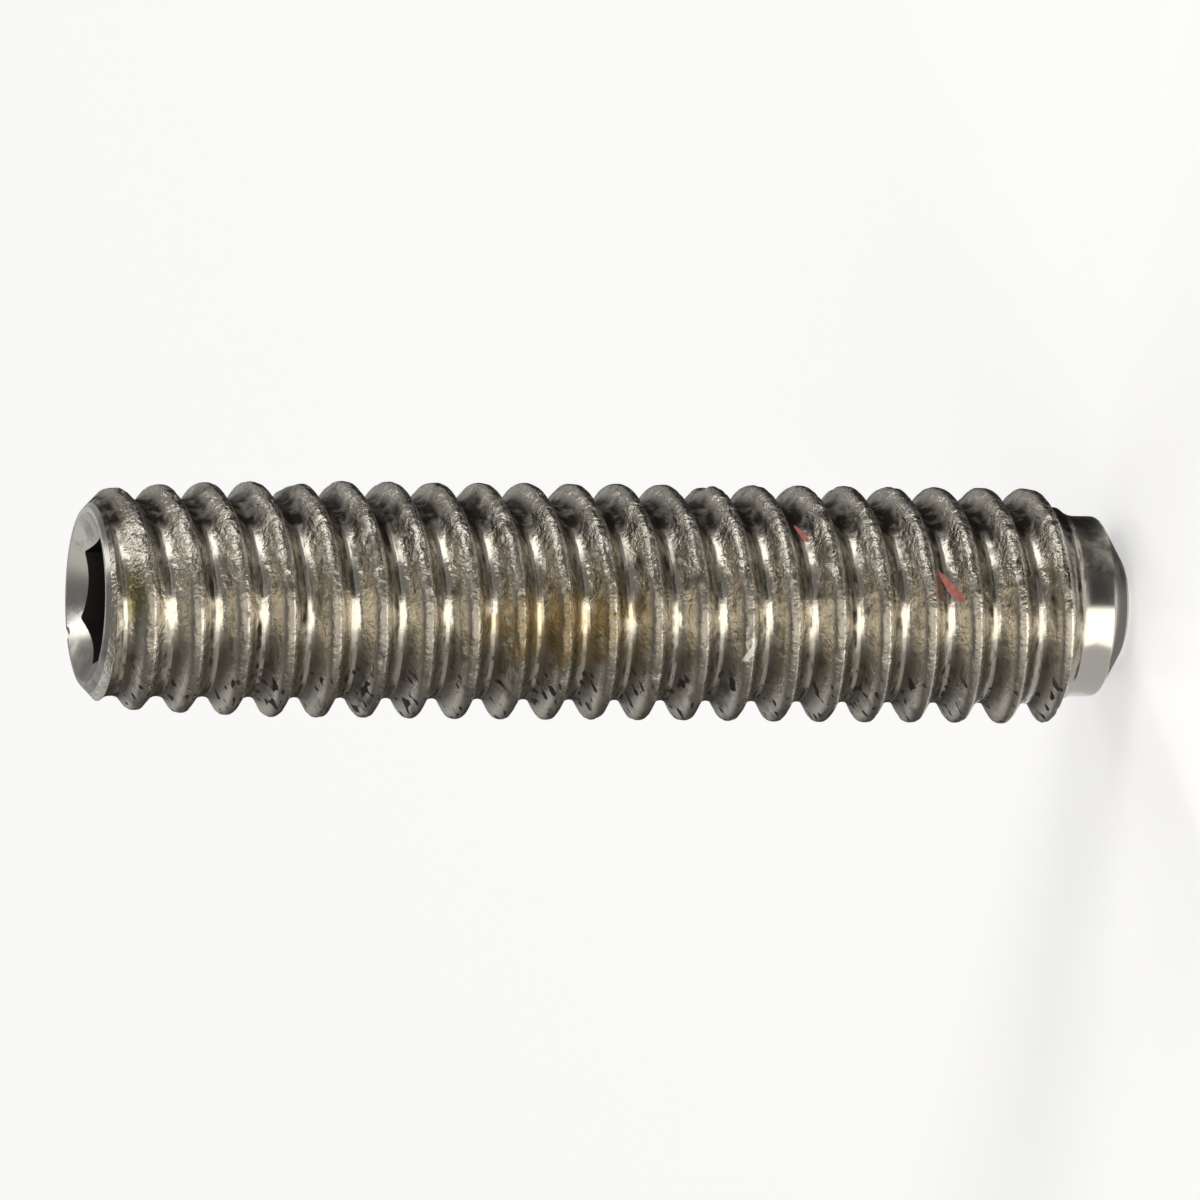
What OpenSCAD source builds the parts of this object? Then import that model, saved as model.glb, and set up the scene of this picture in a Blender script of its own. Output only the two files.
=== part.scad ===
// Socket set screw (grub screw): hexagon socket, flat point, 1/4-20 UNC x 1 1/8 in.
// One piece. It stands on its point: the origin is the centre of the point's flat face,
// and +Z runs up the screw's axis to the socket.

/* [Thread] */
// Major diameter, over the crests
major_d = 6.35; // [5.2:0.05:9]
// Distance along the axis from one crest to the next
pitch = 1.27; // [0.8:0.01:1.6]
// Angle between the two flanks of a groove
flank_angle = 62; // [50:1:65]
// Width of the flat on a crest, as a share of the pitch
crest_share = 0.18; // [0.1:0.01:0.22]
// Depth of a groove, as a share of the pitch
depth_share = 0.43; // [0.4:0.01:0.56]
// Share of its height that the thread lacks at the socket's end, where it isn't filled out
lead_share = 0.5; // [0:0.05:0.8]
// Number of turns over which the thread grows to its full height
lead_turns = 5; // [1:1:10]

/* [Length] */
// Overall length, from the point's face to the socket's face
length = 28.575; // [12:0.005:50]

/* [Point] */
// Diameter of the flat face that bears on the shaft
point_d = 2.7; // [1.5:0.05:3.4]
// Angle of the point's cone, measured from the axis
point_angle = 58; // [40:1:70]
// How far the plain neck behind the cone lies below the bottom of the grooves
neck_drop = 0.2; // [0.02:0.01:0.3]
// Length of the neck
neck_l = 0.5; // [0.3:0.05:3]
// Radius of the sweep that runs the thread out onto the neck
runout_r = 0.85; // [0.5:0.05:2]

/* [Socket] */
// Size of the hexagon key, across its flats
key_af = 3.175; // [2:0.005:3.4]
// Depth of the hexagon, from the socket's face
key_depth = 3.6; // [2.5:0.1:8]
// Turn of the hexagon about the axis
key_turn = 48; // [0:1:59]
// Included angle of the shallow cone at the bottom of the hexagon
floor_angle = 130; // [118:1:160]
// How far the edge of the socket's face lies below the bottom of the grooves
rim_drop = 0.21; // [0.02:0.01:0.3]
// Width of the flat rim between that edge and the countersink
rim_w = 0.14; // [0.05:0.01:0.3]
// Included angle of the countersink
mouth_angle = 120; // [90:1:130]
// Angle of the chamfer outside the rim, measured from the axis
chamfer_angle = 45; // [30:1:60]

/* [Hidden] */

steel = [0.62, 0.61, 0.58];
rings_max = 1030;                 // rings of facets that the whole thread may have
turns = length / pitch;
turn_steps = min(36, floor(rings_max / (turns + 1.5)));
arc_steps = 3;                    // facets across the rounded bottom of a groove
round_fn = 96;                    // sides of the turned surfaces
over = 0.5;                       // stock and cutters run past the finished surface by this

major_r = major_d / 2;
thread_depth = depth_share * pitch;
root_r = major_r - thread_depth;
neck_r = root_r - neck_drop;
rim_r = root_r - rim_drop;
mouth_r = rim_r - rim_w;
cone_l = (neck_r - point_d / 2) / tan(point_angle);
neck_top = cone_l + neck_l;
stock_r = major_r + over;         // radius of the bar that the ends are turned from
chamfer_l = (stock_r - rim_r) / tan(chamfer_angle);
key_r = key_af / 2 / cos(30);     // from the axis to a corner of the hexagon

// Radius of the arc that meets both flanks of a groove and touches its bottom
crest_w = crest_share * pitch;
half_angle = flank_angle / 2;
sharp_depth = (pitch - crest_w) / 2 / tan(half_angle);
root_arc = (sharp_depth - thread_depth) * sin(half_angle) / (1 - sin(half_angle));

// One pitch of the thread, from the lower edge of a crest up to the next flank, as pairs of
// height above the middle of the crest and share of the thread's full height
profile = concat(
    [[-crest_w / 2, 1], [crest_w / 2, 1]],
    [for (i = [0 : arc_steps])
        let (a = (90 - half_angle) * (1 - 2 * i / arc_steps))
        [pitch / 2 - root_arc * sin(a), root_arc * (1 - cos(a)) / thread_depth]]
);

// Height of the thread above its root, at a height z above the point's face
function thread_height(z) =
    let (lead = 1 - (length - z) / (lead_turns * pitch))
    thread_depth * (1 - lead_share * pow(max(0, min(lead, 1)), 2));

// Four corners of a quad, taken clockwise as seen from outside, as two triangles
function quad(a, b, c, d) = [[a, b, c], [a, c, d]];

// A closed run of corners, each pair joined to one more corner
function fan(rim, tip) = [for (i = [0 : len(rim) - 1]) [rim[i], rim[(i + 1) % len(rim)], tip]];

// Right-hand threaded bar that covers every height from 0 to length. The profile is swept up
// the helix in rings, one for each step of a turn, and the top of each ring is joined to the
// bottom of the ring one turn above it. Crests cross the +X side at whole pitches.
module threaded_bar() {
    n = len(profile);
    rings = turn_steps + ceil(turn_steps * (turns + 0.5));
    last = rings * n;
    skin = [for (k = [0 : rings], p = profile)
        let (a = 360 * k / turn_steps,
             z = pitch * (k / turn_steps - 1) + p[0],
             r = root_r + p[1] * thread_height(z))
        [r * cos(a), r * sin(a), z]];
    low_tip = [0, 0, -pitch / 2];
    high_tip = [0, 0, skin[len(skin) - 1][2] - pitch / 2];

    along = [for (k = [0 : rings - 1], j = [0 : n - 2])
        let (a = k * n + j)
        each quad(a, a + 1, a + n + 1, a + n)];
    across = [for (k = [0 : rings - turn_steps - 1])
        let (a = k * n + n - 1, b = (k + turn_steps) * n)
        each quad(a, b, b + n, a + n)];
    low_rim = concat([for (k = [0 : turn_steps]) k * n], [for (j = [n - 1 : -1 : 1]) j]);
    high_rim = concat(
        [for (j = [0 : n - 1]) last + j],
        [for (k = [1 : turn_steps]) last - k * n + n - 1]);
    polyhedron(
        points = concat(skin, [low_tip, high_tip]),
        faces = concat(along, across, fan(low_rim, len(skin)), fan(high_rim, len(skin) + 1)));
}

// What the lathe leaves of the bar: flat, cone, neck, run-out of the thread, outer chamfer
module turned_outline() {
    difference() {
        polygon([
            [0, 0],
            [point_d / 2, 0],
            [neck_r, cone_l],
            [neck_r, neck_top],
            [stock_r, neck_top],
            [stock_r, length - chamfer_l],
            [rim_r, length],
            [0, length]
        ]);
        intersection() {
            translate([neck_r + runout_r, neck_top]) circle(r = runout_r);
            translate([neck_r, neck_top - over]) square([stock_r, runout_r + over]);
        }
    }
}

// What the heading punch leaves: the hexagon, the cone at its bottom and the countersunk mouth
module key_socket() {
    floor_h = key_af / 2 / tan(floor_angle / 2);
    mouth_h = mouth_r / tan(mouth_angle / 2);
    translate([0, 0, length - key_depth]) {
        rotate([0, 0, key_turn]) cylinder(r = key_r, h = key_depth + over, $fn = 6);
        translate([0, 0, -floor_h]) cylinder(r1 = 0, r2 = key_af / 2, h = floor_h);
    }
    translate([0, 0, length - mouth_h])
        cylinder(r1 = 0, r2 = mouth_r * (mouth_h + over) / mouth_h, h = mouth_h + over);
}

module set_screw() {
    color(steel)
    difference() {
        intersection() {
            threaded_bar();
            rotate_extrude($fn = round_fn) turned_outline($fn = round_fn);
        }
        key_socket($fn = round_fn);
    }
}

set_screw();
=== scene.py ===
# %% [markdown]
# # A hexagon socket set screw
#
# The part is one piece of stainless steel: a bar with a rolled thread along its whole length, a
# hexagon socket in its upper end and a turned, chamfered point at its lower end, on which it
# stands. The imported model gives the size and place. This script builds a finer skin round the
# same axis, with the worn crests, nicks and stains of a used screw, and gives it its finish.

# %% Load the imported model
import math

import bpy
from mathutils import Matrix, Vector, noise


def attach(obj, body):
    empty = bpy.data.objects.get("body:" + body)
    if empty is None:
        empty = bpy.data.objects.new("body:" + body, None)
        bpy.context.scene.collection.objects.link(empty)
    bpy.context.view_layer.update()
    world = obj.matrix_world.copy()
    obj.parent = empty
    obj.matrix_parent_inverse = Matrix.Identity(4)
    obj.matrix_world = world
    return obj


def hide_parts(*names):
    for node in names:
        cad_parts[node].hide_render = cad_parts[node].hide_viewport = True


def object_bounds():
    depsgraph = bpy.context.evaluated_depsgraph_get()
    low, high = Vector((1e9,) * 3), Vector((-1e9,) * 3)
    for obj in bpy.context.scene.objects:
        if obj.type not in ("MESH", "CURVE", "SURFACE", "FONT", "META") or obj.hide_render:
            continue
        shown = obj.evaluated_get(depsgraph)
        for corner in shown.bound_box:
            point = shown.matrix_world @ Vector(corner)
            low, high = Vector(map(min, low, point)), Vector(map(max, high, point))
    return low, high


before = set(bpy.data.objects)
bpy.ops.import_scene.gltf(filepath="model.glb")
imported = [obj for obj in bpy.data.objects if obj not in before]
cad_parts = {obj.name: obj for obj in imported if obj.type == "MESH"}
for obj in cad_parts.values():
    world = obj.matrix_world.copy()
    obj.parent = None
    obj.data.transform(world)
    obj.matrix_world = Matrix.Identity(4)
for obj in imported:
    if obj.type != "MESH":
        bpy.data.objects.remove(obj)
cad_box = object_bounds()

cad_low, cad_high = cad_box
print("packed model from", tuple(cad_low), "to", tuple(cad_high))

# %% [markdown]
# Blender's own distances for merging and cutting suit an object of some size, and a screw is
# tiny in metres. So it is modelled in millimetres, at one unit to the millimetre, and is made
# metres at the end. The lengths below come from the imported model's box and from the standard
# proportions of a 1/4-20 thread. Angles are in degrees.

# %% Sizes in millimetres
MM = 0.001
length = (cad_high.z - cad_low.z) / MM
major_r = (cad_high.x - cad_low.x) / 2 / MM

pitch = 1.27
crest_r = major_r - 0.012        # rolled crests stay a little under the nominal size
root_r = 2.625
crest_flat = 0.055
edge_r = 0.16                    # rounding of the crest's two edges
flank = 31                       # a flank's lean from square to the axis

point_r = 1.35
neck_r = 2.425
cone_slope = 58                  # the point's cone, from the axis
cone_l = (neck_r - point_r) / math.tan(math.radians(cone_slope))
neck_top = cone_l + 0.5
runout_r = 0.85                  # the sweep that runs the thread out onto the neck

rim_r = 2.415
mouth_r = 2.275
mouth_slope = 57                 # the countersink, from the axis
out_of_square = 1.6              # how far the socket's end leans
key_af = 3.175                   # across the hexagon's flats
key_depth = 3.6
key_turn = 48                    # from +X to one corner of the hexagon
print("length", round(length, 3), "mm, major radius", round(major_r, 3), "mm")

# %% [markdown]
# Each operator works on what is selected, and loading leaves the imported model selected. These
# helpers start every piece from a clean selection, open it for editing and apply its modifiers.

# %% Helpers for selecting and applying
def only(piece):
    """Leaves one object selected and active."""
    bpy.ops.object.select_all(action="DESELECT")
    piece.select_set(True)
    bpy.context.view_layer.objects.active = piece


def edit(piece, mode="VERT"):
    """Opens a piece in edit mode with nothing selected."""
    only(piece)
    bpy.ops.object.mode_set(mode="EDIT")
    bpy.ops.mesh.select_mode(type=mode)
    bpy.ops.mesh.select_all(action="DESELECT")


def leave():
    """Goes back to object mode, where selection flags can be read and set."""
    bpy.ops.object.mode_set(mode="OBJECT")


def apply_all(piece):
    """Applies the piece's modifiers from the top down."""
    only(piece)
    for modifier in list(piece.modifiers):
        bpy.ops.object.modifier_apply(modifier=modifier.name)


# %% [markdown]
# A turned or threaded shape is a line carried round an axis. The line is drawn as by hand: a
# plane is merged to a single vertex, and that vertex is extruded from point to point. The points
# lie in the XZ plane, with X as the radius and Z as the height.

# %% Draw a line by extruding one vertex
def draw_line(name, points):
    bpy.ops.object.select_all(action="DESELECT")
    bpy.ops.mesh.primitive_plane_add(size=1)
    piece = bpy.context.active_object
    piece.name = name
    bpy.ops.object.mode_set(mode="EDIT")
    bpy.ops.mesh.merge(type="CENTER")
    bpy.ops.transform.translate(value=(points[0][0], 0, points[0][1]))
    for (r0, z0), (r1, z1) in zip(points, points[1:]):
        bpy.ops.mesh.extrude_region_move(
            TRANSFORM_OT_translate={"value": (r1 - r0, 0, z1 - z0)})
    leave()
    return piece


def arc(centre, radius, start, end, steps):
    """Points on a circle from one angle to another, in degrees, both ends included."""
    angles = [math.radians(start + (end - start) * i / steps) for i in range(steps + 1)]
    return [(centre[0] + radius * math.cos(a), centre[1] + radius * math.sin(a))
            for a in angles]


def turn_round(piece, steps, rise=0.0, rounds=1):
    """Carries a line round the Z axis, rising by so much each time round."""
    screw = piece.modifiers.new("turn", "SCREW")
    screw.axis = "Z"
    screw.angle = math.tau
    screw.screw_offset = rise
    screw.iterations = rounds
    screw.steps = screw.render_steps = steps
    apply_all(piece)


# %% [markdown]
# One pitch of the thread has a crest with a narrow flat and rounded edges, two straight flanks
# some 60 degrees apart, and a groove whose bottom is one wide arc. The line starts in the middle
# of one crest and ends in the middle of the next, so that each turn meets the next edge to edge.

# %% The thread's profile
flank_out, flank_up = math.sin(math.radians(flank)), math.cos(math.radians(flank))


def thread_profile():
    edge = arc((crest_r - edge_r, crest_flat / 2), edge_r, 0, 90 - flank, 4)
    reach = edge[-1][0] * flank_out + edge[-1][1] * flank_up
    groove_r = (root_r * flank_out + pitch / 2 * flank_up - reach) / (1 - flank_out)
    groove = arc((root_r + groove_r, pitch / 2), groove_r, 270 - flank, 180, 5)
    middle = ((edge[-1][0] + groove[0][0]) / 2, (edge[-1][1] + groove[0][1]) / 2)
    half = [(crest_r, 0)] + edge + [middle] + groove
    print("groove radius", round(groove_r, 3), "mm")
    return half + [(r, pitch - z) for r, z in reversed(half[:-1])]


profile = thread_profile()
print("one pitch of the thread has", len(profile), "points")

# %% [markdown]
# The Screw modifier carries the profile up the helix. Its turns are merged along their shared
# edges, and both open ends are drawn in to a point, so that the bar is closed and can be cut.

# %% The threaded bar
thread_steps = 160
bar = draw_line("set_screw_skin", profile)
turn_round(bar, thread_steps, rise=pitch, rounds=math.ceil(length / pitch) + 2)

edit(bar)
bpy.ops.mesh.select_all(action="SELECT")
bpy.ops.transform.translate(value=(0, 0, -pitch))
bpy.ops.mesh.remove_doubles(threshold=pitch / 1000)
for upper in (False, True):
    bpy.ops.mesh.select_all(action="DESELECT")
    bpy.ops.mesh.select_non_manifold()
    leave()
    for vertex in bar.data.vertices:
        vertex.select = vertex.select and (vertex.co.z > length / 2) == upper
    for edge in bar.data.edges:
        edge.select = edge.select and all(bar.data.vertices[i].select for i in edge.vertices)
    for face in bar.data.polygons:
        face.select = False
    bpy.ops.object.mode_set(mode="EDIT")
    bpy.ops.mesh.extrude_edges_move()
    bpy.ops.mesh.merge(type="CENTER")
bpy.ops.mesh.select_all(action="SELECT")
bpy.ops.mesh.normals_make_consistent(inside=False)
leave()
print("threaded bar:", len(bar.data.polygons), "faces")

# %% [markdown]
# A rolled crest is never a perfect edge. The first turns at the socket's end aren't filled out,
# because the dies squeeze the blank's end less, and a used screw has crests that are rubbed,
# flattened and nicked. These are moves of the bar's own vertices, worked out from where each
# one lies on the thread: its direction round the axis, its crest and its height above the root.

# %% Where a point lies on the thread
def on_thread(co):
    """Radius, direction round the axis in turns, and offset from the nearest crest in pitches."""
    around = math.atan2(co.y, co.x) / math.tau
    turn = co.z / pitch - around
    return math.hypot(co.x, co.y), around, turn - round(turn)


def smooth(low, high, value):
    """0 below low, 1 above high, with a smooth ramp between them."""
    t = min(max((value - low) / (high - low), 0), 1)
    return t * t * (3 - 2 * t)


print("a point a quarter round, at the crest:", on_thread(Vector((0, crest_r, pitch / 4))))

# %% [markdown]
# The wear has three parts: low turns by the socket, slow waves and small nicks all along the
# crests, which are noises, and ten dents, each put where one shows on the real screw or where a
# used screw would have one. Waves, nicks and dents fade out half way down the thread's height.
# The noises are per millimetre, and each has a shift of its own, so that none follows another.

# %% The sizes of the wear
lead_turns = 5                   # turns by the socket that aren't filled out
lead_loss = 0.5                  # part of the height that the first of them lacks
long_wave, short_wave = 0.035, 0.022
wave_limit = 0.008               # a crest is pressed down, and hardly ever stands up
nick_depth = 0.045
sway = 0.012                     # how far a crest wanders up and down

dents = [                        # height, bearing from +X towards +Y, width, tallness, depth
    (22.95, 8, 1.1, 0.5, 0.11),
    (11.50, 2, 0.5, 0.35, 0.09),
    (10.98, 252, 0.30, 0.2, 0.10),
    (17.10, 300, 0.35, 0.3, 0.06),
    (6.30, 335, 0.30, 0.3, 0.06),
    (14.20, 215, 0.45, 0.3, 0.06),
    (3.90, 20, 0.40, 0.3, 0.07),
    (8.60, 120, 0.60, 0.4, 0.09),
    (19.30, 95, 0.40, 0.3, 0.08),
    (25.10, 160, 0.50, 0.3, 0.07),
]
print(len(dents), "dents, the deepest", max(depth for *_, depth in dents), "mm")


# %% Wear the crests
def dented(co, top):
    """How far the dents press a vertex in."""
    pressed = 0.0
    for height, bearing, wide, tall, depth in dents:
        a = math.radians(bearing)
        away = co - Vector((crest_r * math.cos(a), crest_r * math.sin(a), height))
        along = away.y * math.cos(a) - away.x * math.sin(a)
        reach = math.hypot(along / wide, away.z / tall)
        if reach < 1 and away.length < 2:
            pressed += depth * top * (1 - smooth(0.3, 1, reach))
    return pressed


def worn(co):
    """The place of a vertex after the thread's lead-in, wear and dents."""
    r, around, _ = on_thread(co)
    if r < root_r / 2:
        return co
    height = (r - root_r) / (crest_r - root_r)
    lead = min(max(1 - (length - co.z) / (lead_turns * pitch), 0), 1)
    r = root_r + (r - root_r) * (1 - lead_loss * lead * lead)
    top = smooth(0.5, 1.0, height)
    wave = (noise.noise(co * 0.8) * long_wave
            + noise.noise(co * 2.6 + Vector((9, 4, 2))) * short_wave)
    nick = smooth(0.25, 0.6, noise.noise(co * 3.4 + Vector((3, 7, 5)))) * nick_depth
    r += top * (min(wave, wave_limit) - nick)
    r -= dented(co, top)
    a = around * math.tau
    side = noise.noise(co * 1.9 + Vector((1, 8, 3))) * sway * height
    return Vector((r * math.cos(a), r * math.sin(a), co.z + side))


moved = 0.0
for vertex in bar.data.vertices:
    place = worn(vertex.co)
    moved = max(moved, (place - vertex.co).length)
    vertex.co = place
print("crests worn by up to", round(moved, 3), "mm")

# %% [markdown]
# The ends are turned on a lathe: the flat point, its cone, the plain neck, the sweep that runs
# the thread out, the chamfer outside the socket and the countersink inside it. One outline
# carried round the axis is the whole turned shape, and what the thread and it have in common
# is the screw. Where a cutter has passed, the corner keeps a small radius.

# %% A polyline with rounded corners
def rounded(points, steps=4):
    """Points are (radius, height) or (radius, height, corner radius)."""
    line = []
    for i, point in enumerate(points):
        corner = Vector(point[:2])
        if len(point) == 2:
            line.append(tuple(corner))
            continue
        back = (Vector(points[i - 1][:2]) - corner).normalized()
        on = (Vector(points[i + 1][:2]) - corner).normalized()
        half = back.angle(on) / 2
        centre = corner + (back + on).normalized() * point[2] / math.sin(half)
        first = corner + back * point[2] / math.tan(half) - centre
        last = corner + on * point[2] / math.tan(half) - centre
        for k in range(steps + 1):
            spoke = first.lerp(last, k / steps).normalized() * point[2]
            line.append(tuple(centre + spoke))
    return line


# %% The turned outline
stock_r = crest_r + 0.5          # well outside the crests
clean_l = 0.11                   # how far down the chamfer it is clean
chamfer_l = stock_r - rim_r
mouth_h = mouth_r / math.tan(math.radians(mouth_slope))

lower_end = rounded([(0, 0), (point_r, 0, 0.08), (neck_r, cone_l, 0.12), (neck_r, neck_top)])
sweep = arc((neck_r + runout_r, neck_top), runout_r, 180, 90, 14)
upper_end = rounded([
    (stock_r, length - chamfer_l),
    (rim_r + clean_l, length - clean_l),
    (rim_r, length, 0.03),
    (mouth_r, length, 0.04),
    (0, length - mouth_h),
])
outline = draw_line("turned_outline",
                    lower_end[:-1] + sweep + [(stock_r, sweep[-1][1])] + upper_end)
turn_round(outline, 192)
edit(outline)
bpy.ops.mesh.select_all(action="SELECT")
bpy.ops.mesh.remove_doubles(threshold=0.001)
bpy.ops.mesh.normals_make_consistent(inside=False)
bpy.ops.mesh.select_all(action="DESELECT")
leave()
print("turned outline:", len(outline.data.polygons), "faces")

# %% [markdown]
# The socket's end was cut off a little out of square, and stands higher towards -Y. So the upper
# half of the outline is selected by its height and turned about a line along the rim's far side.

# %% Lean the socket's end
for vertex in outline.data.vertices:
    vertex.select = vertex.co.z > length / 2
bpy.ops.object.mode_set(mode="EDIT")
bpy.ops.transform.rotate(value=math.radians(out_of_square), orient_axis="X",
                         center_override=(0, rim_r, length))
leave()
rim = [vertex.co.z for vertex in outline.data.vertices
       if abs(math.hypot(vertex.co.x, vertex.co.y) - rim_r) < 0.02
       and vertex.co.z > length - 0.1]
print("rim from", round(min(rim), 3), "to", round(max(rim), 3), "mm")

# %% [markdown]
# The socket is struck by a hexagonal punch whose edges are slightly blunt, and the punch leaves
# a shallow cone at the bottom. The punch starts as a six-sided cylinder, its upright edges are
# bevelled, and its lower face is drawn down to a point.

# %% The punch
key_r = key_af / 2 / math.cos(math.radians(30))
punch_h = key_depth + 1          # it stands 1 mm out of the socket
punch_edge = 0.05                # the bevel that blunts its upright edges
punch_tip = 0.62                 # how far its cone reaches below the hexagon
bpy.ops.object.select_all(action="DESELECT")
bpy.ops.mesh.primitive_cylinder_add(vertices=6, radius=key_r, depth=punch_h,
                                    location=(0, 0, length - key_depth + punch_h / 2))
punch = bpy.context.active_object
punch.name = "punch"
bpy.ops.object.transform_apply(location=True, rotation=True, scale=True)
# a cylinder's first corner is on +Y
punch.data.transform(Matrix.Rotation(math.radians(key_turn - 90), 4, "Z"))

edit(punch, "EDGE")
leave()
for edge in punch.data.edges:
    a, b = (punch.data.vertices[i].co for i in edge.vertices)
    edge.select = abs(a.z - b.z) > 1
bpy.ops.object.mode_set(mode="EDIT")
bpy.ops.mesh.bevel(offset=punch_edge, segments=3, affect="EDGES")
bpy.ops.mesh.select_mode(type="FACE")
leave()
for face in punch.data.polygons:
    face.select = face.normal.z < -0.9
bpy.ops.object.mode_set(mode="EDIT")
bpy.ops.mesh.inset(thickness=0.15)
bpy.ops.mesh.extrude_region_move(TRANSFORM_OT_translate={"value": (0, 0, -punch_tip)})
bpy.ops.transform.resize(value=(0.02, 0.02, 1))
leave()
print("punch:", len(punch.data.polygons), "faces")

# %% [markdown]
# Each tool leaves its own finish. The bar, the outline and the punch all carry the same three
# finishes in the same order, and each is set to its own, so that every cut face keeps the finish
# of the tool that made it. Their looks are given further on.

# %% Name the three finishes
ROLLED, TURNED, PUNCHED = range(3)
finishes = [bpy.data.materials.new(name) for name in
            ("rolled steel, soiled", "turned steel", "punched steel")]


def finish_with(piece, number):
    """Gives a piece the three finishes and sets every face to one of them."""
    piece.data.materials.clear()
    for finish in finishes:
        piece.data.materials.append(finish)
    for face in piece.data.polygons:
        face.material_index = number


finish_with(bar, ROLLED)
finish_with(outline, TURNED)
finish_with(punch, PUNCHED)
for face in outline.data.polygons:
    out = math.hypot(face.center.x, face.center.y)
    if face.center.z > neck_top + 0.3 and out > rim_r + clean_l:
        face.material_index = ROLLED     # most of the chamfer is as soiled as the thread
print("finishes:", [finish.name for finish in finishes])

# %% [markdown]
# The rim has one small notch, from a knock. A little ball laid on the rim takes it out. The ball
# carries the turned finish, so that the notch is as bright as the rim round it.

# %% The ball that cuts the notch
notch_out, notch_bearing, notch_lift = 2.345, math.radians(114), 0.07
bpy.ops.object.select_all(action="DESELECT")
bpy.ops.mesh.primitive_uv_sphere_add(segments=16, ring_count=8, radius=0.19)
notch = bpy.context.active_object
notch.name = "notch"
notch.data.transform(Matrix.Translation((notch_out * math.cos(notch_bearing),
                                         notch_out * math.sin(notch_bearing),
                                         length + notch_lift)))
finish_with(notch, TURNED)
print("notch:", len(notch.data.polygons), "faces")


# %% Cut the ends, the socket and the notch
def cut(piece, tool, operation):
    """Cuts a piece with a tool by an exact boolean, and throws the tool away."""
    boolean = piece.modifiers.new(tool.name, "BOOLEAN")
    boolean.operation = operation
    boolean.solver = "EXACT"
    boolean.material_mode = "INDEX"
    boolean.object = tool
    apply_all(piece)
    bpy.data.objects.remove(tool)


cut(bar, outline, "INTERSECT")
cut(bar, punch, "DIFFERENCE")
cut(bar, notch, "DIFFERENCE")
print("set screw:", len(bar.data.polygons), "faces")

# %% [markdown]
# The turned ends and the rolled thread are smooth surfaces, and their facets should not show.
# Smoothing by angle shades every shallow edge as round and leaves the true corners sharp. The
# screw is then made metres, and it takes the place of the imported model's node.

# %% Smooth it, make it metres and hand it over
only(bar)
bpy.ops.object.shade_smooth_by_angle(angle=math.radians(32))
bpy.ops.transform.resize(value=(MM, MM, MM), center_override=(0, 0, 0))
bpy.ops.object.transform_apply(location=True, rotation=True, scale=True)
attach(bar, "root")
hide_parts("set_screw")
print("finished piece:", [round(d / MM, 3) for d in bar.dimensions], "mm")

# %% [markdown]
# Colours are written as sRGB hex values, as they would be read off a colour chart, and one
# function turns them to the linear values that the shader works in. Another adds a node with its
# settings and links, so that each material reads as a list. A value that is itself a node stands
# for that node's first output in use. A mix takes its factor on input 0. A mix of numbers has
# its two values on inputs 2 and 3, and a mix of colours has them on inputs 6 and 7.

# %% Helpers for materials
SOFT = {"interpolation_type": "SMOOTHSTEP"}      # a ramp that starts and ends gently
COLOURS = {"data_type": "RGBA"}


def linear(code):
    """A linear RGBA colour from an sRGB hex code such as '8C8A85'."""
    parts = [int(code[i:i + 2], 16) / 255 for i in (0, 2, 4)]
    return [c / 12.92 if c <= 0.04045 else ((c + 0.055) / 1.055) ** 2.4 for c in parts] + [1]


def add(tree, kind, links=None, **settings):
    """Adds a node. Links maps an input's name or number to a value, an output or a node."""
    node = tree.nodes.new("ShaderNode" + kind)
    for name, value in settings.items():
        setattr(node, name, value)
    for name, value in (links or {}).items():
        if isinstance(value, bpy.types.Node):
            value = next(output for output in value.outputs if output.enabled)
        if isinstance(value, bpy.types.NodeSocket):
            tree.links.new(value, node.inputs[name])
        else:
            node.inputs[name].default_value = value
    return node


def empty_tree(material):
    """Turns a material's nodes on and clears them."""
    material.use_nodes = True
    material.node_tree.nodes.clear()
    return material.node_tree


print("mid grey 808080 is", round(linear("808080")[0], 3), "in linear light")

# %% [markdown]
# The thread was rolled, so its metal is smooth and was never cut. On a used screw a brownish
# film of oil and oxide dulls the flanks, darkened further by painted shade under each crest and
# on the side towards +X, while the bottom of each groove still shines and the lower shoulder of
# each crest is rubbed to pale, finely scratched metal, whose paleness is partly a painted
# highlight. All of these follow the helix, so the shader works out where each point lies on it,
# as the wear did.
# The positions come from Object coordinates, turned from metres to millimetres, and the patterns'
# scales are per millimetre. `facing` is 1 on the side towards +X and -1 on the side towards -X,
# and
# `offset` is the height above the nearest crest in pitches, so that half a pitch is the groove's
# bottom.

# %% Where the shader stands on the thread
t = empty_tree(finishes[ROLLED])
metres = add(t, "TexCoord").outputs["Object"]
place = add(t, "VectorMath", {0: metres, 3: 1 / MM}, operation="SCALE")
x, y, z = add(t, "SeparateXYZ", {0: place}).outputs
across = add(t, "CombineXYZ", {"X": x, "Y": y})
radius = add(t, "VectorMath", {0: across}, operation="LENGTH")
facing = add(t, "Math", {0: x, 1: radius}, operation="DIVIDE")
bearing = add(t, "Math", {0: y, 1: x}, operation="ARCTAN2")
around = add(t, "Math", {0: bearing, 1: math.tau}, operation="DIVIDE")
climbed = add(t, "Math", {0: z, 1: pitch}, operation="DIVIDE")
turn = add(t, "Math", {0: climbed, 1: around}, operation="SUBTRACT")
nearest = add(t, "Math", {0: turn}, operation="ROUND")
offset = add(t, "Math", {0: turn, 1: nearest}, operation="SUBTRACT")
from_crest = add(t, "Math", {0: offset}, operation="ABSOLUTE")
print("thread position:", len(t.nodes), "nodes")

# %% [markdown]
# Grime doesn't lie evenly. These noises give it patches some 2 mm wide, lumps of 0.4 mm and a
# grain of 0.1 mm. A fourth is drawn out along the thread, as marks of rolling are: it takes the
# offset from the crest for its height, so its streaks run round with the helix.

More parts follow.
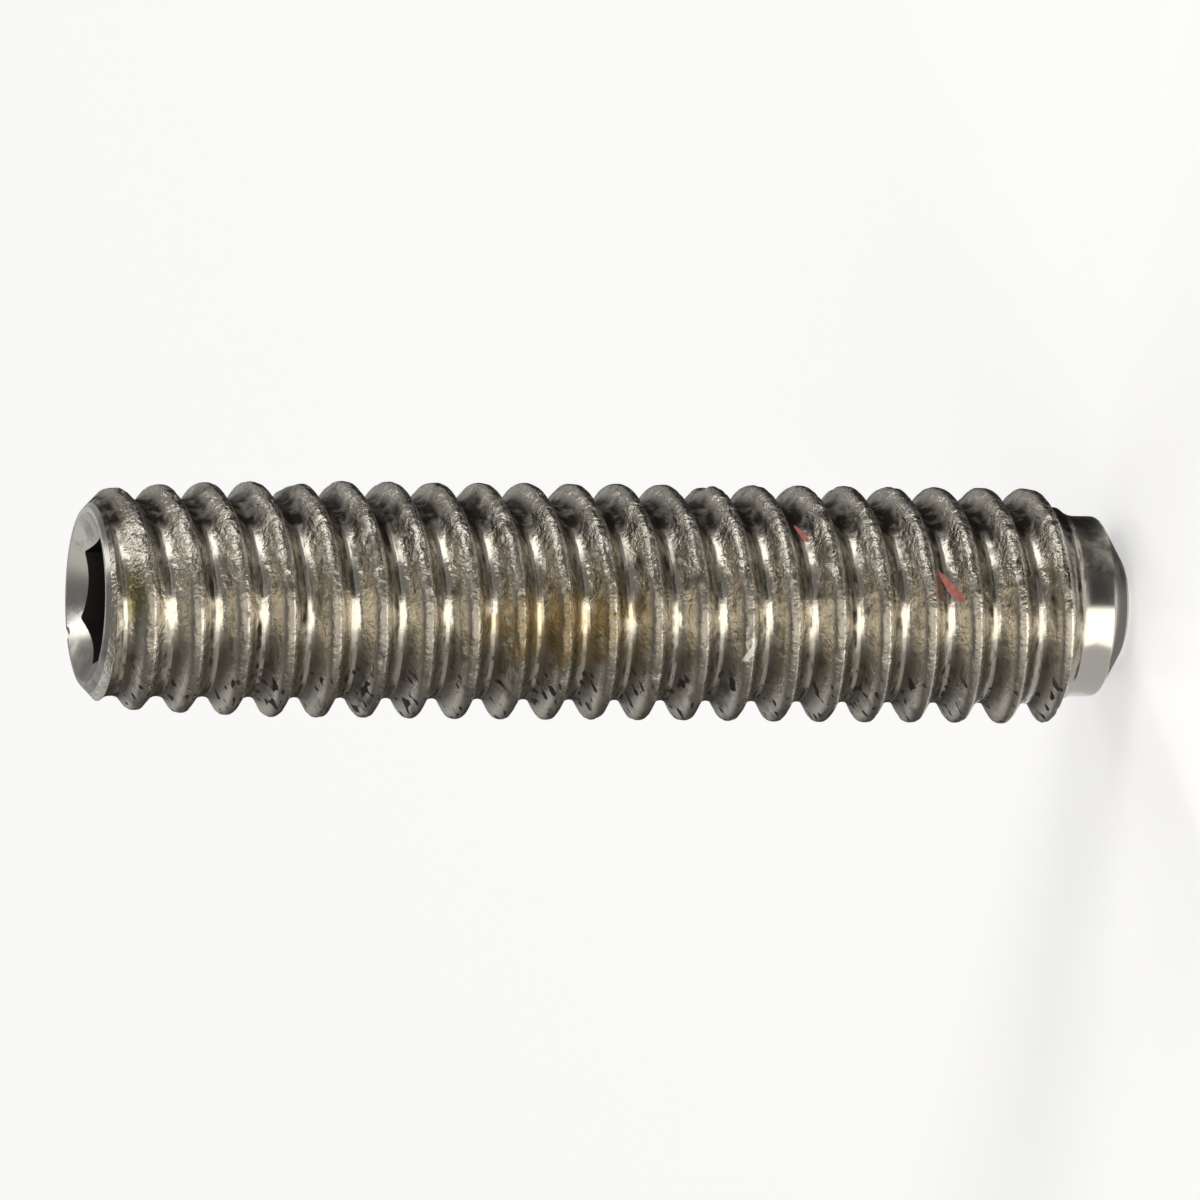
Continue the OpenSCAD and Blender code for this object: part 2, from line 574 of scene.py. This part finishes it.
# %% Noises for the grime
patches = add(t, "TexNoise", {"Vector": place, "Scale": 0.55, "Detail": 3})
lumps = add(t, "TexNoise", {"Vector": place, "Scale": 2.3, "Detail": 3, "Roughness": 0.55})
grain = add(t, "TexNoise", {"Vector": place, "Scale": 8.0, "Detail": 3, "Roughness": 0.65})
drawn_z = add(t, "Math", {0: offset, 1: 9.0, 2: z}, operation="MULTIPLY_ADD")
drawn = add(t, "CombineXYZ", {"X": x, "Y": y, "Z": drawn_z})
streaks = add(t, "TexNoise", {"Vector": drawn, "Scale": 0.9, "Detail": 2, "Roughness": 0.5})
print("with the noises:", len(t.nodes), "nodes")

# %% [markdown]
# Two places stay clean. The groove's bottom is out of reach of dirty fingers and was burnished
# by the dies, except on the side towards +X, where it is full of oil and painted shade. The
# crest's lower shoulder is rubbed wherever the screw has been handled, in a line that is wider
# towards +X, and its pale steel is partly a painted highlight. The noises break both into lengths
# and sparkles.

# %% Bright groove
groove = add(t, "MapRange", {"Value": from_crest, "From Min": 0.44, "From Max": 0.475}, **SOFT)
groove_kept = add(t, "MapRange", {"Value": lumps, "From Min": 0.36, "From Max": 0.48}, **SOFT)
# the groove stays clean except towards +X, where oil and painted shade cover it
groove_unshaded_side = add(t, "MapRange", {"Value": facing, "From Min": 0.78, "From Max": 0.60}, **SOFT)
groove_left = add(t, "Math", {0: groove, 1: groove_unshaded_side}, operation="MULTIPLY")
bright_groove = add(t, "Math", {0: groove_left, 1: groove_kept}, operation="MULTIPLY")

# %% Rubbed shoulder of the crest
below_crest = 0.142              # where the shoulder is, in pitches
wider = add(t, "MapRange", {"Value": facing, "From Min": 0.2, "From Max": 0.6, "To Max": 0.035})
shoulder = add(t, "Math", {0: offset, 1: below_crest}, operation="ADD")
shoulder_line = add(t, "Math", {0: shoulder, 1: wider}, operation="SUBTRACT")
from_shoulder = add(t, "Math", {0: shoulder_line}, operation="ABSOLUTE")
past_shoulder = add(t, "Math", {0: from_shoulder, 1: wider}, operation="SUBTRACT")
edge_line = add(t, "MapRange", {"Value": past_shoulder, "From Min": 0.078, "From Max": 0.030},
                **SOFT)
edge_kept = add(t, "MapRange", {"Value": grain, "From Min": 0.38, "From Max": 0.56}, **SOFT)
rubbed_and_highlit = add(t, "Math", {0: edge_line, 1: edge_kept}, operation="MULTIPLY")
clean = add(t, "Math", {0: bright_groove, 1: rubbed_and_highlit}, operation="MAXIMUM")
print("with the clean places:", len(t.nodes), "nodes")

# %% [markdown]
# The film is thickest towards the grooves. The flank under each crest is darkened as well, and
# that is painted shade. The noises and both of these are summed, and the sum is cut to a range of
# 0 to 1, which mixes two colours: warm grey where the film is thin, and brown-black where it is
# thick or painted in shade.

# %% The film, with painted shade under the crests
depth = add(t, "MapRange", {"Value": from_crest, "From Min": 0.12, "From Max": 0.40}, **SOFT)
uneven = add(t, "Math", {0: patches, 1: lumps}, operation="ADD")
streaked = add(t, "Math", {0: streaks, 1: 0.7, 2: uneven}, operation="MULTIPLY_ADD")
# painted shade: the flank under each crest is made darker
shade_under_crest = add(t, "MapRange", {"Value": offset, "From Min": -0.27, "From Max": -0.40}, **SOFT)
deep_sum = add(t, "Math", {0: depth, 1: 0.11, 2: streaked}, operation="MULTIPLY_ADD")
film_and_shade_sum = add(t, "Math", {0: shade_under_crest, 1: 0.17, 2: deep_sum}, operation="MULTIPLY_ADD")
thick_film_and_shade = add(t, "MapRange", {"Value": film_and_shade_sum, "From Min": 1.34, "From Max": 1.92}, **SOFT)
film_and_shade = add(t, "Mix", {0: thick_film_and_shade, 6: linear("C8C1B3"), 7: linear("2E2518")}, **COLOURS)

# %% [markdown]
# On the side that faces +X the film is darkened nearly to black under each crest, and at its very
# edge beyond the groove as well: this is old oil, and painted shade of that side with it. On the
# other side dust has settled on the upper flank, beside the bottom of the groove. Each is a range
# of `facing` times a range of `offset`.

# %% Oil and painted shade under the crests on one side
# painted shade: along with its oil, the side towards +X is painted darker
oily_shaded_side = add(t, "MapRange", {"Value": facing, "From Min": 0.48, "From Max": 0.76}, **SOFT)
under_crest = add(t, "MapRange", {"Value": offset, "From Min": -0.13, "From Max": -0.27},
                  **SOFT)
oiliest_shaded_side = add(t, "MapRange", {"Value": facing, "From Min": 0.63, "From Max": 0.78}, **SOFT)
past_groove = add(t, "MapRange", {"Value": offset, "From Min": 0.17, "From Max": 0.35}, **SOFT)
oil_and_shade_under = add(t, "Math", {0: oily_shaded_side, 1: under_crest}, operation="MULTIPLY")
oil_and_shade_past = add(t, "Math", {0: oiliest_shaded_side, 1: past_groove}, operation="MULTIPLY")
oil_and_shade_here = add(t, "Math", {0: oil_and_shade_under, 1: oil_and_shade_past}, operation="MAXIMUM")
oil_and_shade_broken = add(t, "MapRange", {"Value": lumps, "From Min": 0.32, "From Max": 0.52,
                                 "To Min": 0.45})
oil_and_shade = add(t, "Math", {0: oil_and_shade_here, 1: oil_and_shade_broken}, operation="MULTIPLY")
oiled_and_shaded = add(t, "Mix", {0: oil_and_shade, 6: film_and_shade, 7: linear("241B10")}, **COLOURS)

# %% Dust in the grooves on the other side
dusty_side = add(t, "MapRange", {"Value": facing, "From Min": -0.15, "From Max": -0.6,
                                 "To Max": 0.82}, **SOFT)
dusty_part = add(t, "MapRange", {"Value": offset, "From Min": 0.12, "From Max": 0.36}, **SOFT)
dust = add(t, "Math", {0: dusty_side, 1: dusty_part}, operation="MULTIPLY")
dusted = add(t, "Mix", {0: dust, 6: oiled_and_shaded, 7: linear("3B3022")}, **COLOURS)
oil_dust_and_shade = add(t, "Math", {0: oil_and_shade, 1: dust}, operation="MAXIMUM")
soil_and_shade = add(t, "Math", {0: oil_dust_and_shade, 1: thick_film_and_shade}, operation="MAXIMUM")
print("with the film, oil and dust:", len(t.nodes), "nodes")

# %% [markdown]
# Above the rubbed line the rounding of the crest is dull and painted darker, on all but the oily
# side: this is painted shade. Were it as glossy and pale as the flank, it would show a second
# bright line beside the first.

# %% Dull caps, painted in shade
cap_low = add(t, "MapRange", {"Value": offset, "From Min": -0.075, "From Max": -0.05}, **SOFT)
cap_high = add(t, "MapRange", {"Value": offset, "From Min": 0.19, "From Max": 0.09}, **SOFT)
cap_side = add(t, "MapRange", {"Value": facing, "From Min": 0.32, "From Max": 0.12,
                               "To Max": 0.62}, **SOFT)
cap_line = add(t, "Math", {0: cap_low, 1: cap_high}, operation="MULTIPLY")
cap = add(t, "Math", {0: cap_line, 1: cap_side}, operation="MULTIPLY")
# painted shade: the caps are mixed towards a dark grey
caps_in_painted_shade = add(t, "Mix", {0: cap, 6: dusted, 7: linear("6E685F")}, **COLOURS)

# %% [markdown]
# Some marks are only in one place: a golden stain half way up, a yellow-green one under the
# socket's end, a short red fibre caught in the thread, a streak of the same red, and one slanting
# nick whose brightness is a painted highlight, near white and barely metallic. Each is centred
# and turned by a Mapping node, whose scale is the mark's half-size, so that the mark is where the
# length of the mapped place is under 1.

# %% Two stains
gold_place = add(t, "Mapping", {"Vector": place, "Location": (-0.75, -2.8, 16.2),
                                "Scale": (1.5, 1.5, 2.9)}, vector_type="TEXTURE")
gold_length = add(t, "VectorMath", {0: gold_place}, operation="LENGTH")
gold_broken = add(t, "Math", {0: lumps, 1: -2.2, 2: gold_length}, operation="MULTIPLY_ADD")
gold = add(t, "MapRange", {"Value": gold_broken, "From Min": -0.10, "From Max": -0.70,
                           "To Max": 0.68}, **SOFT)
golden = add(t, "Mix", {0: gold, 6: caps_in_painted_shade, 7: linear("86734A")}, **COLOURS)

green_place = add(t, "Mapping", {"Vector": place, "Location": (0.1, -2.7, 28.0),
                                 "Scale": (1.0, 0.8, 0.42)}, vector_type="TEXTURE")
green_length = add(t, "VectorMath", {0: green_place}, operation="LENGTH")
green = add(t, "MapRange", {"Value": green_length, "From Min": 1.1, "From Max": 0.3,
                            "To Max": 0.8}, **SOFT)
stained = add(t, "Mix", {0: green, 6: golden, 7: linear("77703A")}, **COLOURS)

# %% Clean steel through the stained film
# painted highlight: the rubbed line's steel is painted paler, partly in place of a highlight
bare_and_highlit = add(t, "Mix", {0: rubbed_and_highlit, 6: linear("BDB8AC"), 7: linear("E6E4DF")}, **COLOURS)
steel = add(t, "Mix", {0: gold, 6: bare_and_highlit, 7: linear("C9BA98")}, **COLOURS)
metal = add(t, "Mix", {0: clean, 6: stained, 7: steel}, **COLOURS)

# %% A red fibre and a red streak
fibre_place = add(t, "Mapping", {"Vector": place, "Location": (0.505, -2.71, 5.38),
                                 "Rotation": (0, math.radians(-35.7), math.radians(10.5)),
                                 "Scale": (0.62, 0.35, 0.13)}, vector_type="TEXTURE")
streak_place = add(t, "Mapping", {"Vector": place, "Location": (1.90, -1.857, 9.33),
                                  "Rotation": (0, math.radians(-20.8), math.radians(45.5)),
                                  "Scale": (0.40, 0.35, 0.085)}, vector_type="TEXTURE")
fibre_length = add(t, "VectorMath", {0: fibre_place}, operation="LENGTH")
streak_length = add(t, "VectorMath", {0: streak_place}, operation="LENGTH")
red_length = add(t, "Math", {0: fibre_length, 1: streak_length}, operation="MINIMUM")
red_edge = add(t, "Math", {0: grain, 1: 0.5, 2: red_length}, operation="MULTIPLY_ADD")
red = add(t, "MapRange", {"Value": red_edge, "From Min": 1.25, "From Max": 1.05}, **SOFT)

# %% A nick with a painted highlight
nick_highlight_place = add(t, "Mapping", {"Vector": place, "Location": (-1.256, -2.82, 10.94),
                                "Rotation": (0, math.radians(-35.1), math.radians(156)),
                                "Scale": (0.42, 0.35, 0.10)}, vector_type="TEXTURE")
nick_highlight_length = add(t, "VectorMath", {0: nick_highlight_place}, operation="LENGTH")
nick = add(t, "MapRange", {"Value": nick_highlight_length, "From Min": 1.05, "From Max": 0.8}, **SOFT)
print("with the marks:", len(t.nodes), "nodes")

# %% [markdown]
# On the side that faces away from the oil, the upper flanks carry black slits, a tenth of a
# millimetre wide and two or three tenths long, all leaning the same way. They are a noise that
# is turned to lean as they do and is three times finer across them than along them. They are
# kept to the half towards -Y, where they are known to be.

# %% Slits in the flanks
leaning = add(t, "Mapping", {"Vector": place, "Rotation": (0, math.radians(-62.7), 0)})
finer = add(t, "VectorMath", {0: leaning, 1: (9.0, 3.0, 3.0)}, operation="MULTIPLY")
slit_noise = add(t, "TexNoise", {"Vector": finer, "Scale": 1.0, "Detail": 0})
slit_lines = add(t, "MapRange", {"Value": slit_noise, "From Min": 0.655, "From Max": 0.71},
                 **SOFT)
slit_side = add(t, "MapRange", {"Value": facing, "From Min": -0.52, "From Max": -0.75}, **SOFT)
slit_flank = add(t, "MapRange", {"Value": offset, "From Min": -0.03, "From Max": 0.05}, **SOFT)
slit_half = add(t, "MapRange", {"Value": y, "From Min": 0.9, "From Max": 0.1})
slit_part = add(t, "Math", {0: slit_side, 1: slit_flank}, operation="MULTIPLY")
slit_here = add(t, "Math", {0: slit_part, 1: slit_half}, operation="MULTIPLY")
slits = add(t, "Math", {0: slit_lines, 1: slit_here}, operation="MULTIPLY")

# %% [markdown]
# The shader now takes all of these. First come the colours of the small marks over the metal's.
# Soil isn't metal, so the surface grows less metallic and rougher as it thickens, and it does so
# under the painted shade as well. The rubbed line is rougher than the groove, from its scratches,
# and the fibre and the slits are matt.

# %% Colour, roughness and metal
slit_colour = add(t, "Mix", {0: slits, 6: metal, 7: linear("1B1710")}, **COLOURS)
# painted highlight: the nick is painted near white
nick_highlight_colour = add(t, "Mix", {0: nick, 6: slit_colour, 7: linear("F0ECE4")}, **COLOURS)
dyed = add(t, "Mix", {0: grain, 6: linear("8E3A36"), 7: linear("E09088")}, **COLOURS)
colour = add(t, "Mix", {0: red, 6: nick_highlight_colour, 7: dyed}, **COLOURS)

dull_from_soil_and_shade = add(t, "Math", {0: soil_and_shade, 1: 0.30, 2: 0.20}, operation="MULTIPLY_ADD")
dull = add(t, "Math", {0: cap, 1: 0.3, 2: dull_from_soil_and_shade}, operation="MULTIPLY_ADD")
groove_gloss = add(t, "Mix", {0: bright_groove, 2: dull, 3: 0.17})
gloss = add(t, "Mix", {0: rubbed_and_highlit, 2: groove_gloss, 3: 0.30})
matt = add(t, "Math", {0: red, 1: slits}, operation="MAXIMUM")
roughness = add(t, "Mix", {0: matt, 2: gloss, 3: 0.7})
thin = add(t, "MapRange", {"Value": soil_and_shade, "From Min": 0.3, "From Max": 1.2, "To Min": 1.0,
                           "To Max": 0.5})
flat = add(t, "Math", {0: nick, 1: 0.8, 2: matt}, operation="MULTIPLY_ADD", use_clamp=True)
metallic = add(t, "Mix", {0: flat, 2: thin, 3: 0.0})

# %% [markdown]
# The lumps and the grain are relief too: they are what breaks the reflections into glints, more
# towards +X, where the oil and the painted shade lie, and hardly at all down in the clean groove.
# The slits are cut in.

# %% Relief and the shader of the rolled steel
relief_l = 0.07 * MM
lumpy = add(t, "MapRange", {"Value": facing, "From Min": -0.5, "From Max": 0.35,
                            "To Min": 0.7, "To Max": 1.8}, **SOFT)
tall = add(t, "Math", {0: lumps, 1: lumpy}, operation="MULTIPLY")
grained = add(t, "Math", {0: grain, 1: 0.5, 2: tall}, operation="MULTIPLY_ADD")
relief = add(t, "Math", {0: slits, 1: -0.8, 2: grained}, operation="MULTIPLY_ADD")
kept = add(t, "MapRange", {"Value": from_crest, "From Min": 0.30, "From Max": 0.43,
                           "To Min": 1.0, "To Max": 0.12}, **SOFT)
bump = add(t, "Bump", {"Strength": kept, "Distance": relief_l, "Height": relief})

shader = add(t, "BsdfPrincipled", {"Base Color": colour, "Metallic": metallic,
                                   "Roughness": roughness, "Normal": bump})
add(t, "OutputMaterial", {"Surface": shader})
print("rolled steel:", len(t.nodes), "nodes")

# %% [markdown]
# The neck, the point, the rim and the countersink were turned, and stay cleaner. A lathe leaves
# fine rings, which spread a reflection along the axis and keep it narrow round it. That is what
# anisotropy gives, with its tangent running round the axis. Three marks dull the metal and darken
# it, and one noise breaks them all up: oil smudges together with painted shade on the neck's side
# towards +X, finger marks on the socket's end, and a darker part of the countersink towards -X.

# %% Smudges and painted shade on the turned steel
t = empty_tree(finishes[TURNED])
metres = add(t, "TexCoord").outputs["Object"]
place = add(t, "VectorMath", {0: metres, 3: 1 / MM}, operation="SCALE")
x, y, z = add(t, "SeparateXYZ", {0: place}).outputs
smears = add(t, "TexNoise", {"Vector": place, "Scale": 1.6, "Detail": 4, "Roughness": 0.6})
mottled = add(t, "MapRange", {"Value": smears, "From Min": 0.30, "From Max": 0.56,
                              "To Min": 0.35})
on_neck = add(t, "MapRange", {"Value": z, "From Min": 3.0, "From Max": 2.0})
on_end = add(t, "Math", {0: 1.0, 1: on_neck}, operation="SUBTRACT")

# painted shade: along with its oil, the neck's side towards +X is painted darker
neck_shaded_side = add(t, "MapRange", {"Value": x, "From Min": 0.1, "From Max": 1.0}, **SOFT)
neck_side = add(t, "Math", {0: neck_shaded_side, 1: on_neck}, operation="MULTIPLY")
neck_oil_and_shade = add(t, "Math", {0: neck_side, 1: mottled}, operation="MULTIPLY")
marks = add(t, "MapRange", {"Value": smears, "From Min": 0.50, "From Max": 0.66,
                            "To Max": 0.45}, **SOFT)
finger_marks = add(t, "Math", {0: marks, 1: on_end}, operation="MULTIPLY")
# the part of the countersink towards -X is painted darker
darker_part = add(t, "MapRange", {"Value": x, "From Min": -0.85, "From Max": -1.25,
                                 "To Max": 0.65}, **SOFT)
darker_end = add(t, "Math", {0: darker_part, 1: on_end}, operation="MULTIPLY")
end_darkening = add(t, "Math", {0: darker_end, 1: mottled}, operation="MULTIPLY")
either = add(t, "Math", {0: neck_oil_and_shade, 1: finger_marks}, operation="MAXIMUM")
smudge_and_shade = add(t, "Math", {0: either, 1: end_darkening}, operation="MAXIMUM")
print("smudges:", len(t.nodes), "nodes")

# %% The shader of the turned steel
colour = add(t, "Mix", {0: smudge_and_shade, 6: linear("C4C0B8"), 7: linear("5C5850")}, **COLOURS)
dull = add(t, "Math", {0: smudge_and_shade, 1: 0.2, 2: 0.24}, operation="MULTIPLY_ADD")
rings = add(t, "Tangent", direction_type="RADIAL", axis="Z")
shader = add(t, "BsdfPrincipled", {"Base Color": colour, "Metallic": 1, "Roughness": dull,
                                   "Anisotropic": 0.6, "Anisotropic Rotation": 0.25,
                                   "Tangent": rings})
add(t, "OutputMaterial", {"Surface": shader})
print("turned steel:", len(t.nodes), "nodes")

# %% [markdown]
# The socket was punched, and its walls are dark with the scale and oil that a key never rubs off.
# It is seen only at a slant and mostly in its own shade, so one plain dark metal does for it, and
# its darkness is partly painted shade.

# %% Punched steel, and the slot
t = empty_tree(finishes[PUNCHED])
# painted shade: the walls' dark colour partly stands for the shade deep in the socket
shader = add(t, "BsdfPrincipled", {"Base Color": linear("4A4744"), "Metallic": 1,
                                   "Roughness": 0.5})
add(t, "OutputMaterial", {"Surface": shader})
print("slots:", [slot.material.name for slot in bar.material_slots])

# %% [markdown]
# The camera stands far off with a long lens, so that the thread keeps its pitch from end to end.
# It looks down by some 16 degrees, and it is rolled a quarter turn and a touch less, so that the
# screw lies across the picture with its socket to the left. From here on places are in metres.

# %% Camera
scene = bpy.context.scene
scene.view_settings.view_transform = "Standard"

elevation = math.radians(15.7)
roll = math.radians(-90 + 0.52)
aim = Vector((0.00005, 0, 0.01439))
away = 0.893
back = Vector((0, -math.cos(elevation), math.sin(elevation)))
bpy.ops.object.camera_add(location=aim + back * away)
camera = bpy.context.active_object
camera.data.lens = 1000
camera.data.sensor_width = 36
camera.data.clip_end = 10
level = Matrix.Rotation(math.radians(90) - elevation, 3, "X")
camera.rotation_euler = (level @ Matrix.Rotation(roll, 3, "Z")).to_euler()
scene.camera = camera
print("camera", round(away / MM), "mm away")

# %% [markdown]
# The floor is white paper. It is lifted a little where the camera, a reflection or a
# transparent thing sees it, so that it stays pale and still keeps the screw's shadow.

# %% White paper floor
def flat_sheet(name, corners, material):
    """A four-cornered sheet with its corners in metres, in order round it."""
    bpy.ops.object.select_all(action="DESELECT")
    bpy.ops.mesh.primitive_plane_add(size=1)
    sheet = bpy.context.active_object
    sheet.name = name
    for vertex, corner in zip((0, 1, 3, 2), corners):
        sheet.data.vertices[vertex].co = corner
    sheet.data.materials.append(material)
    return sheet


def square(half, height):
    """The corners of a level square round the axis."""
    return [(-half, -half, height), (half, -half, height), (half, half, height),
            (-half, half, height)]


paper = bpy.data.materials.new("white paper")
t = empty_tree(paper)
path = add(t, "LightPath")
seen_or_mirrored = add(t, "Math", {0: path.outputs["Is Camera Ray"],
                                   1: path.outputs["Is Glossy Ray"]}, operation="MAXIMUM")
seen = add(t, "Math", {0: seen_or_mirrored, 1: path.outputs["Is Transmission Ray"]},
           operation="MAXIMUM")
lift = add(t, "Math", {0: seen, 1: 0.45}, operation="MULTIPLY")
shader = add(t, "BsdfPrincipled", {"Base Color": linear("F2F1EF"), "Roughness": 0.9,
                                   "Specular IOR Level": 0.2,
                                   "Emission Color": linear("FFFFFF"),
                                   "Emission Strength": lift})
add(t, "OutputMaterial", {"Surface": shader})
flat_sheet("floor", square(2, 0), paper)
print("floor: 4 m square")

# %% [markdown]
# Polished metal has little colour of its own: what gives it shape is what it mirrors. So all the
# light is soft and comes from glowing panels, with dark between them, and a dim grey world fills
# the rest. The panels in front and at the side draw the long bright lines in the grooves. Those
# overhead and behind light the flanks that look up, the rim and the countersink, and the two
# small lamps over the far side put the strong glints on the threads towards +X.

# %% Light panels
def wedge(name, near, far, start, end, low, high, material):
    """A sheet between two bearings, in degrees from the camera's side towards +X."""
    corners = []
    for turned, reach, height in ((start, near, low), (end, near, low),
                                  (end, far, high), (start, far, high)):
        side = math.radians(turned)
        corners.append((reach * math.sin(side), -reach * math.cos(side), height))
    sheet = flat_sheet(name, corners, material)
    sheet.visible_camera = False
    return sheet


def painted(name, colour, glow=0.0):
    """A matt card's paint, or a soft panel's own light where it glows."""
    paint = bpy.data.materials.new(name)
    t = empty_tree(paint)
    shader = add(t, "BsdfPrincipled", {"Base Color": linear("000000" if glow else colour),
                                       "Roughness": 0.8, "Emission Color": linear(colour),
                                       "Emission Strength": glow})
    add(t, "OutputMaterial", {"Surface": shader})
    return paint


WHITE, WARM = "FFFFFF", "FFFBF2"
panels = [         # near and far edge, first and last bearing, height of both edges, light
    ("front panel", 0.22, 0.22, -37, -2, 0.0, 0.13, WARM, 2.4),
    ("side panel", 0.25, 0.25, 46, 76, 0.0, 0.40, WHITE, 2.2),
    ("top panel", 0.18, 0.34, 60, 150, 0.41, 0.37, WHITE, 1.4),
    ("back panel", 0.16, 0.36, -168, -120, 0.36, 0.20, WHITE, 0.8),
    ("low back panel", 0.36, 0.38, -168, -120, 0.20, 0.03, WHITE, 0.55),
    ("rim panel", 0.37, 0.37, 168, 192, 0.06, 0.16, WHITE, 0.7),
    ("far panel", 0.38, 0.38, 135, 168, 0.03, 0.40, WHITE, 0.4),
    ("lamp", 0.062, 0.115, 124, 136, 0.30, 0.28, WHITE, 8.0),
    ("lower lamp", 0.17, 0.24, 143, 160, 0.31, 0.28, WHITE, 4.6),
]
for name, near, far, start, end, low, high, colour, glow in panels:
    wedge(name, near, far, start, end, low, high, painted(name, colour, glow))
print(len(panels), "panels")

# %% [markdown]
# The parts of the thread that face the camera mirror the floor round the screw, and a plain
# white floor would turn them all one pale grey. So cards lie on it that only the metal's
# reflections see: a glowing one in front, that carries on the front panel, grey ones to both
# sides, a pale one close in on the side towards -X, which glows a little, and black ones
# elsewhere. They begin right beside the screw. One more, which glows dimly, lies under the point.

# %% Cards on the floor
card_h = 0.2 * MM
black = painted("black card", "2A2A2A")
grey = painted("grey card", "D2CFC9")
cards = [          # near and far edge, first and last bearing, paint
    ("front card", 0.0031, 0.22, -37, -2, painted("front card", WARM, 2.4)),
    ("dark card", 0.0045, 0.25, 40, 76, painted("dark card", "A9A7A3")),
    ("black card", 0.0034, 0.3, 0, 40, black),
    ("black card at the side", 0.0034, 0.3, 76, 135, black),
    ("black card behind", 0.0034, 0.3, 135, 180, black),
    ("grey card", 0.012, 0.3, -115, -54, grey),
    ("pale card", 0.0034, 0.012, -115, -37, painted("pale card", WHITE, 0.62)),
    ("black card far behind", 0.012, 0.3, -180, -115, black),
]
for name, near, far, start, end, paint in cards:
    card = wedge(name, near, far, start, end, card_h, card_h, paint)
    card.visible_diffuse = card.visible_shadow = False

under = flat_sheet("dim card under the point", square(2 * MM, 0.1 * MM),
                   painted("dim card", WHITE, 0.22))
under.visible_camera = under.visible_diffuse = under.visible_shadow = False
print(len(cards) + 1, "cards")

# %% The world
world = bpy.data.worlds.new("studio")
scene.world = world
world.use_nodes = True
sky = world.node_tree.nodes["Background"].inputs
sky["Color"].default_value = linear("818181")
sky["Strength"].default_value = 1
print("world:", world.name)
